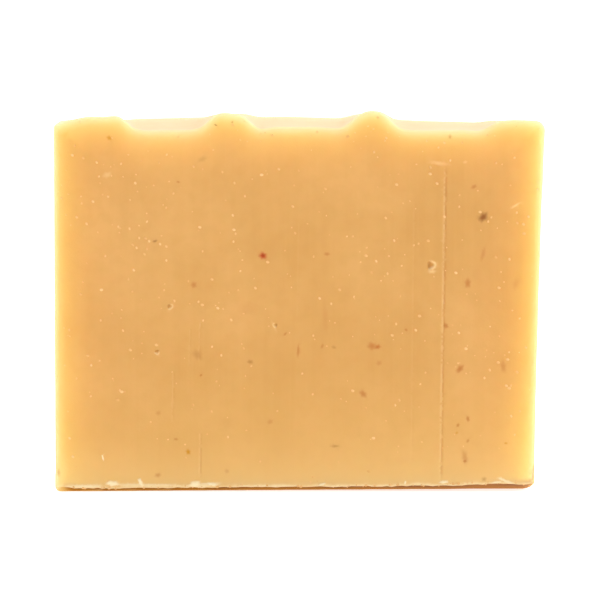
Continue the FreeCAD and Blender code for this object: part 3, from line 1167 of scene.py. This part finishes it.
    def store_attributes(self, mesh: bpy.types.Mesh, points: np.ndarray, tint: np.ndarray) -> None:
        """Stores what the finish reads: the tint, the share of skin colour, partly dried skin and partly
        painted light on the top, and of cut face.

        Args:
            mesh: The bar's mesh.
            points: Its points in millimetres.
            tint: The colour over the soap's own, its cover, and how clear the soap is.
        """
        attribute = mesh.attributes.new("tint", "FLOAT_COLOR", "POINT")
        attribute.data.foreach_set("color", tint[:, :4].astype(np.float32).ravel())
        normals = np.zeros(len(points) * 3, np.float32)
        mesh.vertices.foreach_get("normal", normals)
        normals = normals.reshape(-1, 3)
        # Skin colour where the surface faces up is partly a drier skin and partly painted light from above.
        on_top = smooth_step(*self.skin_and_top_light_at, normals[:, 2])
        on_wall = self.wall_skin * smooth_step(*self.wall_skin_at, np.abs(normals[:, 0]))
        cut = smooth_step(*self.cut_depth, self.depth(points))
        for name, values in (("skin", on_top + on_wall), ("cut", cut), ("clear", tint[:, 4])):
            layer = mesh.attributes.new(name, "FLOAT", "POINT")
            layer.data.foreach_set("value", values.astype(np.float32))


def add_node(tree: bpy.types.NodeTree, kind: str, settings: dict, inputs: dict) -> bpy.types.Node:
    """Adds a node with its settings and links.

    Args:
        tree: The tree that the node goes into.
        kind: The node's type.
        settings: The node's own properties.
        inputs: For each input, by name or number, a socket to link from or a value.

    Returns:
        The node.
    """
    node = tree.nodes.new(kind)
    for name, value in settings.items():
        setattr(node, name, value)
    for key, value in inputs.items():
        socket = node.inputs[key]
        if isinstance(value, bpy.types.NodeSocket):
            tree.links.new(value, socket)
        else:
            socket.default_value = value
    return node


def per_metre(size_mm: float) -> float:
    """The scale at which a noise texture's lumps are about a size in millimetres."""
    return 1 / (size_mm * MM)


def empty_tree(owner: bpy.types.Material | bpy.types.World) -> bpy.types.NodeTree:
    """Switches a material's or the world's nodes on, and clears them.

    Args:
        owner: The material or the world.

    Returns:
        Its node tree.
    """
    owner.use_nodes = True
    owner.node_tree.nodes.clear()
    return owner.node_tree


@dataclass(frozen=True)
class SoapFinish:
    """Cured cold-process soap, cut with a wire: satin, slightly waxy, and lit from inside near its edges.

    The colour is a caramel that clouds a little paler and darker over a few centimetres, with faint
    upright streaks where the wire ran. The free top has a paler skin colour, partly a drier skin and
    partly painted light where it faces up. The surface's real grain is too fine to show, so the grit
    is drawn as coarse as it needs to be to show.
    """

    colour: str = SOAP_COLOUR
    deep_colour: str = "D19E57"
    pale_colour: str = "E2B26E"
    skin_and_top_light_colour: str = "E4C192"
    cloud_size: float = 16.0
    cloud_range: Step = (0.35, 0.65)
    middle_share: float = 0.5
    mottle_size: float = 2.2
    mottle_range: Step = (0.4, 0.7)
    mottle_share: float = 0.3
    streak_width: float = 1.1
    streak_length: float = 60.0
    streak_range: Step = (0.3, 0.7)
    streak_share: float = 0.2
    grit_size: float = 0.35
    grit_height: float = 0.03
    grit_strength: float = 0.6
    roughness_low: float = 0.42
    roughness_high: float = 0.55
    glow_depth: float = 12.0
    glow_shares: tuple[float, float, float] = (1.1, 1.4, 1.1)
    glow_weight: float = 0.75
    index: float = 1.46
    sheen: float = 0.2

    def material(self) -> bpy.types.Material:
        """Makes the soap's material.

        Returns:
            The material.
        """
        material = bpy.data.materials.new("cured_soap")
        tree = empty_tree(material)
        stored = {}
        for name in ("cut", "skin", "clear", "tint"):
            stored[name] = add_node(tree, "ShaderNodeAttribute", {"attribute_name": name}, {}).outputs
        place = add_node(tree, "ShaderNodeTexCoord", {}, {}).outputs["Object"]
        squeeze = (1.0, 1.0, self.streak_width / self.streak_length)
        upright = add_node(tree, "ShaderNodeMapping", {}, {"Vector": place, "Scale": squeeze}).outputs[0]
        patterns = {}
        for name, vector, size, detail in (
            ("cloud", place, self.cloud_size, 2.0),
            ("mottle", place, self.mottle_size, 3.0),
            ("streak", upright, self.streak_width, 2.0),
            ("grit", place, self.grit_size, 2.0),
        ):
            inputs = {"Vector": vector, "Scale": per_metre(size), "Detail": detail}
            patterns[name] = add_node(tree, "ShaderNodeTexNoise", {}, inputs).outputs["Fac"]
        shares = {}
        for name, pattern, (low, high), least, most in (
            ("cloud", "cloud", self.cloud_range, 0.0, 1.0),
            ("mottle", "mottle", self.mottle_range, 0.0, self.mottle_share),
            ("streak", "streak", self.streak_range, 0.0, self.streak_share),
            ("roughness", "mottle", (0.0, 1.0), self.roughness_low, self.roughness_high),
        ):
            inputs = {"Value": patterns[pattern], "From Min": low, "From Max": high}
            inputs |= {"To Min": least, "To Max": most}
            shares[name] = add_node(tree, "ShaderNodeMapRange", {}, inputs).outputs[0]
        products = {}
        for name, one, other in (
            ("streak", shares["streak"], stored["cut"]["Fac"]),
            ("glow", stored["clear"]["Fac"], self.glow_weight),
        ):
            inputs = {0: one, 1: other}
            products[name] = add_node(tree, "ShaderNodeMath", {"operation": "MULTIPLY"}, inputs).outputs[0]
        base = linear(self.deep_colour)
        for share, over in (
            (shares["cloud"], linear(self.pale_colour)),
            (self.middle_share, linear(self.colour)),
            (products["streak"], linear(self.pale_colour)),
            (shares["mottle"], linear(self.deep_colour)),
            # Skin colour: partly a drier skin, partly painted light on the top.
            (stored["skin"]["Fac"], linear(self.skin_and_top_light_colour)),
            (stored["tint"]["Alpha"], stored["tint"]["Color"]),
        ):
            inputs = {0: share, UNDER: base, OVER: over}
            base = add_node(tree, "ShaderNodeMix", {"data_type": "RGBA"}, inputs).outputs[2]
        grit = {"Height": patterns["grit"], "Distance": self.grit_height * MM, "Strength": self.grit_strength}
        inputs = {
            "Base Color": base,
            "Roughness": shares["roughness"],
            "IOR": self.index,
            "Specular IOR Level": self.sheen,
            "Subsurface Weight": products["glow"],
            "Subsurface Radius": self.glow_shares,
            "Subsurface Scale": self.glow_depth * MM,
            "Normal": add_node(tree, "ShaderNodeBump", {}, grit).outputs[0],
        }
        shader = add_node(tree, "ShaderNodeBsdfPrincipled", {"subsurface_method": "RANDOM_WALK"}, inputs)
        add_node(tree, "ShaderNodeOutputMaterial", {}, {"Surface": shader.outputs[0]})
        return material


@dataclass(frozen=True)
class GrainFinish:
    """Undissolved fat and torn crumbs: paler and drier than the soap, so duller, and each its own shade."""

    dull_colour: str = "E4B06C"
    pale_colour: str = "F2C68A"
    roughness: float = 0.6
    sheen: float = 0.2

    def material(self) -> bpy.types.Material:
        """Makes the pale grains' material.

        Returns:
            The material.
        """
        material = bpy.data.materials.new("pale_soap_grain")
        tree = empty_tree(material)
        shade = add_node(tree, "ShaderNodeAttribute", {"attribute_name": SHADE}, {}).outputs["Fac"]
        colours = {0: shade, UNDER: linear(self.dull_colour), OVER: linear(self.pale_colour)}
        inputs = {
            "Base Color": add_node(tree, "ShaderNodeMix", {"data_type": "RGBA"}, colours).outputs[2],
            "Roughness": self.roughness,
            "Specular IOR Level": self.sheen,
        }
        shader = add_node(tree, "ShaderNodeBsdfPrincipled", {}, inputs)
        add_node(tree, "ShaderNodeOutputMaterial", {}, {"Surface": shader.outputs[0]})
        return material


@dataclass
class Pebbles:
    """What the two scatters of small pale pieces share: the pebble and its finish.

    The shade's shift is added to each pebble's number, so that its shade isn't tied to its size.
    """

    flatness: float
    smallest: float
    largest: float
    skew: float
    seed: int
    width_share: float = 0.75
    segments: int = 8
    rings: int = 5
    shade_shift: float = 5000.0

    def group(self, name: str, extra_inputs: dict[str, str]) -> tuple[bpy.types.NodeTree, bpy.types.Node]:
        """Starts a node tree with its named inputs.

        Args:
            name: The tree's name.
            extra_inputs: The socket type of each input besides the shared ones.

        Returns:
            The tree and its input node.
        """
        tree = bpy.data.node_groups.new(name, "GeometryNodeTree")
        sockets = {
            "Geometry": "NodeSocketGeometry",
            "Smallest": "NodeSocketFloat",
            "Largest": "NodeSocketFloat",
            "Seed": "NodeSocketInt",
            "Material": "NodeSocketMaterial",
        }
        for socket_name, kind in (sockets | extra_inputs).items():
            tree.interface.new_socket(socket_name, in_out="INPUT", socket_type=kind)
        tree.interface.new_socket("Geometry", in_out="OUTPUT", socket_type="NodeSocketGeometry")
        return tree, add_node(tree, "NodeGroupInput", {}, {})

    def set_pebbles(
        self,
        tree: bpy.types.NodeTree,
        given: bpy.types.Node,
        points: bpy.types.NodeSocket,
        facing: bpy.types.NodeSocket,
    ) -> None:
        """Ends a node tree: a pebble of its own size, turn and shade on each point, made real and finished.

        Args:
            tree: The tree.
            given: Its input node.
            points: The points.
            facing: The way that each pebble's flat side faces.
        """
        seed = given.outputs["Seed"]
        number = {"data_type": "FLOAT"}
        chance = add_node(tree, "FunctionNodeRandomValue", number, {"Seed": seed})
        power = {0: chance.outputs[1], 1: self.skew}
        skewed = add_node(tree, "ShaderNodeMath", {"operation": "POWER"}, power)
        sizes = {
            "Value": skewed.outputs[0],
            "To Min": given.outputs["Smallest"],
            "To Max": given.outputs["Largest"],
        }
        size = add_node(tree, "ShaderNodeMapRange", {}, sizes)
        ball = {"Radius": 1.0, "Segments": self.segments, "Rings": self.rings}
        pebble = add_node(tree, "GeometryNodeMeshUVSphere", {}, ball)
        shape = {"Geometry": pebble.outputs[0], "Scale": (1.0, self.width_share, self.flatness)}
        flattened = add_node(tree, "GeometryNodeTransform", {}, shape)
        instances = {
            "Points": points,
            "Instance": flattened.outputs[0],
            "Rotation": facing,
            "Scale": size.outputs[0],
        }
        placed = add_node(tree, "GeometryNodeInstanceOnPoints", {}, instances)
        spin = add_node(tree, "FunctionNodeRandomValue", number, {3: 2 * math.pi, "Seed": seed})
        about = add_node(tree, "ShaderNodeCombineXYZ", {}, {"Z": spin.outputs[1]})
        turns = {"Instances": placed.outputs[0], "Rotation": about.outputs[0]}
        turned = add_node(tree, "GeometryNodeRotateInstances", {}, turns)
        index = add_node(tree, "GeometryNodeInputIndex", {}, {})
        apart = {0: index.outputs[0], 1: self.shade_shift}
        shifted = add_node(tree, "ShaderNodeMath", {"operation": "ADD"}, apart)
        own = add_node(tree, "FunctionNodeRandomValue", number, {"Seed": seed, "ID": shifted.outputs[0]})
        shades = {"Geometry": turned.outputs[0], "Name": SHADE, "Value": own.outputs[1]}
        on_pebbles = {"data_type": "FLOAT", "domain": "INSTANCE"}
        shaded = add_node(tree, "GeometryNodeStoreNamedAttribute", on_pebbles, shades)
        real = add_node(tree, "GeometryNodeRealizeInstances", {}, {"Geometry": shaded.outputs[0]})
        dress = {"Geometry": real.outputs[0], "Material": given.outputs["Material"]}
        dressed = add_node(tree, "GeometryNodeSetMaterial", {}, dress)
        smooth = add_node(tree, "GeometryNodeSetShadeSmooth", {}, {"Geometry": dressed.outputs[0]})
        add_node(tree, "NodeGroupOutput", {}, {"Geometry": smooth.outputs[0]})

    def scatter(
        self,
        name: str,
        carrier: bpy.types.Mesh,
        tree: bpy.types.NodeTree,
        values: dict[str, float],
        material: bpy.types.Material,
    ) -> bpy.types.Object:
        """Runs a node tree on a mesh.

        Args:
            name: The piece's name.
            carrier: The mesh that the tree starts from.
            tree: The tree.
            values: The tree's inputs besides the shared ones.
            material: The pebbles' material.

        Returns:
            The pebbles as one plain mesh.
        """
        holder = add_to_scene("carrier", carrier)
        modifier = holder.modifiers.new("scatter", "NODES")
        modifier.node_group = tree
        shared = {
            "Smallest": self.smallest * MM,
            "Largest": self.largest * MM,
            "Seed": self.seed,
            "Material": material,
        }
        given = shared | values
        for item in tree.interface.items_tree:
            if item.name in given and item.in_out == "INPUT":
                modifier[item.identifier] = given[item.name]
        bpy.context.view_layer.update()
        evaluated = holder.evaluated_get(bpy.context.evaluated_depsgraph_get())
        mesh = bpy.data.meshes.new_from_object(evaluated)
        bpy.data.objects.remove(holder)
        mesh.name = name
        mesh.materials.clear()
        mesh.materials.append(material)
        return add_to_scene(name, mesh)


@dataclass
class Grains(Pebbles):
    """Pale grains that the wire cut through, scattered over the cut faces by Geometry Nodes."""

    flatness: float = 0.22
    smallest: float = 0.13
    largest: float = 0.34
    skew: float = 2.0
    seed: int = 5
    per_square_cm: float = 17.0
    sparsest: float = 0.12
    cluster_size: float = 18.0
    cluster_range: Step = (0.3, 0.65)
    thin_foot: float = 0.2
    thin_foot_from: float = 6.0
    thin_foot_to: float = 24.0

    def tree(self) -> bpy.types.NodeTree:
        """Builds the node tree that scatters the grains.

        Returns:
            The tree, whose inputs are the density, the two sizes, the seed and the material.
        """
        tree, given = self.group("scatter_grains", {"Density": "NodeSocketFloat"})
        clusters = add_node(tree, "ShaderNodeTexNoise", {}, {"Scale": per_metre(self.cluster_size)})
        place = add_node(tree, "GeometryNodeInputPosition", {}, {})
        height = add_node(tree, "ShaderNodeSeparateXYZ", {}, {0: place.outputs[0]}).outputs["Z"]
        foot = (self.thin_foot_from * MM, self.thin_foot_to * MM)
        density = given.outputs["Density"]
        for value, (low, high), least in (
            (clusters.outputs[0], self.cluster_range, self.sparsest),
            (height, foot, self.thin_foot),
        ):
            inputs = {"Value": value, "From Min": low, "From Max": high, "To Min": least}
            share = add_node(tree, "ShaderNodeMapRange", {}, inputs).outputs[0]
            factors = {0: density, 1: share}
            density = add_node(tree, "ShaderNodeMath", {"operation": "MULTIPLY"}, factors).outputs[0]
        spread = {"Mesh": given.outputs["Geometry"], "Density": density, "Seed": given.outputs["Seed"]}
        at_random = {"distribute_method": "RANDOM"}
        points = add_node(tree, "GeometryNodeDistributePointsOnFaces", at_random, spread)
        self.set_pebbles(tree, given, points.outputs["Points"], points.outputs["Rotation"])
        return tree

    def build(
        self, face_meshes: dict[Face, tuple[np.ndarray, np.ndarray]], material: bpy.types.Material
    ) -> bpy.types.Object:
        """Scatters the grains over the cut faces.

        Args:
            face_meshes: Each cut face's points and triangles.
            material: The grains' material.

        Returns:
            The grains as one plain mesh.
        """
        points = []
        triangles = []
        for own_points, own_triangles in face_meshes.values():
            triangles += (own_triangles + sum(len(p) for p in points)).tolist()
            points.append(own_points * MM)
        carrier = bpy.data.meshes.new("cut_faces")
        carrier.from_pydata(np.concatenate(points).tolist(), [], triangles)
        values = {"Density": self.per_square_cm / CM**2}
        return self.scatter("soap_grains", carrier, self.tree(), values, material)


@dataclass
class Crumbs(Pebbles):
    """Crumbs of torn soap that cling along the lip of each cut face, set along it by Geometry Nodes."""

    flatness: float = 0.45
    smallest: float = 0.06
    largest: float = 0.34
    skew: float = 3.0
    seed: int = 8
    spacing: float = 0.5
    stray: float = 0.35
    stray_from: tuple[float, float, float] = (-1.0, -0.15, 0.0)
    stray_to: tuple[float, float, float] = (1.0, 0.15, 1.0)
    turn_from: tuple[float, float, float] = (1.2, -0.5, -0.5)
    turn_to: tuple[float, float, float] = (1.9, 0.5, 0.5)
    sunk: float = 0.1

    def tree(self) -> bpy.types.NodeTree:
        """Builds the node tree that sets crumbs along a lip.

        Returns:
            The tree, whose inputs are the spacing, the stray, the two sizes, the seed and the material.
        """
        tree, given = self.group("crumbs_on_lip", {"Spacing": "NodeSocketFloat", "Stray": "NodeSocketFloat"})
        lips = add_node(tree, "GeometryNodeMeshToCurve", {}, {"Mesh": given.outputs["Geometry"]})
        along = {"Curve": lips.outputs[0], "Length": given.outputs["Spacing"]}
        points = add_node(tree, "GeometryNodeCurveToPoints", {"mode": "LENGTH"}, along)
        chances = []
        for least, most in ((self.stray_from, self.stray_to), (self.turn_from, self.turn_to)):
            limits = {0: least, 1: most, "Seed": given.outputs["Seed"]}
            chance = add_node(tree, "FunctionNodeRandomValue", {"data_type": "FLOAT_VECTOR"}, limits)
            chances.append(chance.outputs[0])
        stray, facing = chances
        scale = {0: stray, "Scale": given.outputs["Stray"]}
        offset = add_node(tree, "ShaderNodeVectorMath", {"operation": "SCALE"}, scale)
        move = {"Geometry": points.outputs["Points"], "Offset": offset.outputs[0]}
        strewn = add_node(tree, "GeometryNodeSetPosition", {}, move)
        self.set_pebbles(tree, given, strewn.outputs[0], facing)
        return tree

    def build(self, lips: dict[Face, np.ndarray], material: bpy.types.Material) -> bpy.types.Object:
        """Sets crumbs along the lips.

        Args:
            lips: The line along each cut face's lip.
            material: The crumbs' material.

        Returns:
            The crumbs as one plain mesh.
        """
        points = []
        edges = []
        for face, line in lips.items():
            edges += [(len(points) + i, len(points) + i + 1) for i in range(len(line) - 1)]
            sunk = line - np.array([0.0, self.sunk * face.value, 0.0])
            points += (sunk * MM).tolist()
        carrier = bpy.data.meshes.new("lips")
        carrier.from_pydata(points, edges, [])
        values = {"Spacing": self.spacing * MM, "Stray": self.stray * MM}
        return self.scatter("soap_crumbs", carrier, self.tree(), values, material)


@dataclass(frozen=True)
class Softbox:
    """A square lamp: its place and width in metres, and how bright it makes white paper that faces it."""

    name: str
    place: tuple[float, float, float]
    width: float
    level: float


@dataclass
class Studio:
    """A white floor under soft light, and the camera at the photograph's place.

    The floor's radius is in metres, and a level is how bright white paper is, where 1 is white.
    """

    camera_distance: float = 900.0
    camera_height: float = 127.8
    pixels_per_mm: float = 5.866
    picture_pixels: int = 600
    sensor: float = 36.0
    aim_x: float = 0.14
    aim_height: float = 33.02
    floor_radius: float = 4.0
    floor_sides: int = 96
    floor_colour: str = "F2F2F2"
    floor_glow: float = 0.7
    floor_bounce: float = 0.42
    sky_level: float = 0.68
    softboxes: tuple[Softbox, ...] = (
        Softbox("key_softbox", (0.7, -0.9, 1.3), 0.6, 0.07),
        Softbox("left_softbox", (-0.9, 0.12, 0.35), 0.5, 0.4),
        Softbox("right_softbox", (0.9, 0.12, 0.35), 0.5, 0.7),
        Softbox("top_softbox", (0.0, 0.25, 1.0), 0.6, 0.4),
    )

    def build(self, front_y: float) -> None:
        """Makes the floor, the sky, the lamps and the camera.

        Args:
            front_y: The front cut face's place, in millimetres.
        """
        self.floor()
        self.sky()
        for softbox in self.softboxes:
            self.lamp(softbox)
        self.camera(front_y)

    def floor(self) -> None:
        """Makes the floor: white paper that the camera and reflections see nearly evenly white."""
        mesh = bpy.data.meshes.new("floor")
        angles = [2 * math.pi * i / self.floor_sides for i in range(self.floor_sides)]
        corners = [(self.floor_radius * math.cos(a), self.floor_radius * math.sin(a), 0) for a in angles]
        mesh.from_pydata(corners, [], [tuple(range(self.floor_sides))])
        material = bpy.data.materials.new("white_paper")
        tree = empty_tree(material)
        paper = add_node(tree, "ShaderNodeBsdfDiffuse", {}, {"Color": linear(self.floor_colour)})
        levels = {"Value": seen_ray(tree), "To Min": self.floor_bounce, "To Max": self.floor_glow}
        level = add_node(tree, "ShaderNodeMapRange", {}, levels)
        glow = add_node(tree, "ShaderNodeEmission", {}, {"Strength": level.outputs[0]})
        surface = add_node(tree, "ShaderNodeAddShader", {}, {0: paper.outputs[0], 1: glow.outputs[0]})
        add_node(tree, "ShaderNodeOutputMaterial", {}, {"Surface": surface.outputs[0]})
        mesh.materials.append(material)
        add_to_scene("floor", mesh)

    def sky(self) -> None:
        """Makes the world: an even soft light, and white where it is seen."""
        world = bpy.data.worlds.new("white_studio")
        bpy.context.scene.world = world
        tree = empty_tree(world)
        white = linear("FFFFFF")
        soft = add_node(tree, "ShaderNodeBackground", {}, {"Color": white, "Strength": self.sky_level})
        seen = add_node(tree, "ShaderNodeBackground", {}, {"Color": white, "Strength": 1.0})
        inputs = {0: seen_ray(tree), 1: soft.outputs[0], 2: seen.outputs[0]}
        surface = add_node(tree, "ShaderNodeMixShader", {}, inputs)
        add_node(tree, "ShaderNodeOutputWorld", {}, {"Surface": surface.outputs[0]})

    def lamp(self, softbox: Softbox) -> None:
        """Hangs a softbox, pointed at the bar.

        Args:
            softbox: The softbox.
        """
        place = Vector(softbox.place)
        way = Vector((0, 0, self.aim_height * MM)) - place
        light = bpy.data.lights.new(softbox.name, "AREA")
        light.shape = "SQUARE"
        light.size = softbox.width
        light.energy = softbox.level * math.pi**2 * way.length**2
        lamp = add_to_scene(softbox.name, light)
        lamp.location = place
        lamp.rotation_euler = way.to_track_quat("-Z", "Y").to_euler()

    def camera(self, front_y: float) -> None:
        """Places the camera square to the front face, a little above the bar.

        Args:
            front_y: The front cut face's place, in millimetres.
        """
        place = Vector((self.aim_x, front_y - self.camera_distance, self.camera_height)) * MM
        target = Vector((self.aim_x, front_y, self.aim_height)) * MM
        data = bpy.data.cameras.new("camera")
        data.sensor_width = self.sensor
        reach = (target - place).length / MM
        data.lens = self.pixels_per_mm * reach * self.sensor / self.picture_pixels
        camera = add_to_scene("camera", data)
        camera.location = place
        camera.rotation_euler = (target - place).to_track_quat("-Z", "Y").to_euler()
        bpy.context.scene.camera = camera


def seen_ray(tree: bpy.types.NodeTree) -> bpy.types.NodeSocket:
    """Gives 1 for rays from the camera, mirrors and clear things, and 0 for the light itself.

    Args:
        tree: The tree that the nodes go into.

    Returns:
        The value's socket.
    """
    path = add_node(tree, "ShaderNodeLightPath", {}, {})
    seen = path.outputs["Is Camera Ray"]
    for name in ("Is Glossy Ray", "Is Transmission Ray"):
        either = {0: seen, 1: path.outputs[name]}
        seen = add_node(tree, "ShaderNodeMath", {"operation": "MAXIMUM"}, either).outputs[0]
    return seen


def hand_over(piece: bpy.types.Object) -> None:
    """Ties a finished piece to the bar's body, hides the imported node, and reports its triangles.

    Args:
        piece: The piece.
    """
    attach(piece, BODY)
    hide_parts(NODE)
    piece.data.calc_loop_triangles()
    log.info("%s: %d triangles", piece.name, len(piece.data.loop_triangles))


def main() -> None:
    """Builds the bar, its grains and the studio, in that order."""
    logging.basicConfig(level=logging.INFO, format="%(name)s: %(message)s")
    packed = PackedBar(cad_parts[NODE])
    marks = {
        Face.FRONT: (FRONT_FLECKS, FRONT_PITS, FRONT_DRAG_MARKS, FRONT_CHIPS),
        Face.BACK: (BACK_FLECKS, BACK_PITS, BACK_DRAG_MARKS, BACK_CHIPS),
    }
    bar = SoapBar(packed, {face: FaceMarks(face, packed.left_foot, *own) for face, own in marks.items()})
    body, face_meshes = bar.build()
    body.data.materials.append(SoapFinish().material())
    hand_over(body)
    pale = GrainFinish().material()
    hand_over(Grains().build(face_meshes, pale))
    hand_over(Crumbs().build(bar.lips, pale))
    Studio().build(packed.face_y[Face.FRONT])
    bpy.context.scene.view_settings.view_transform = "Standard"


if __name__ == "__main__":
    main()
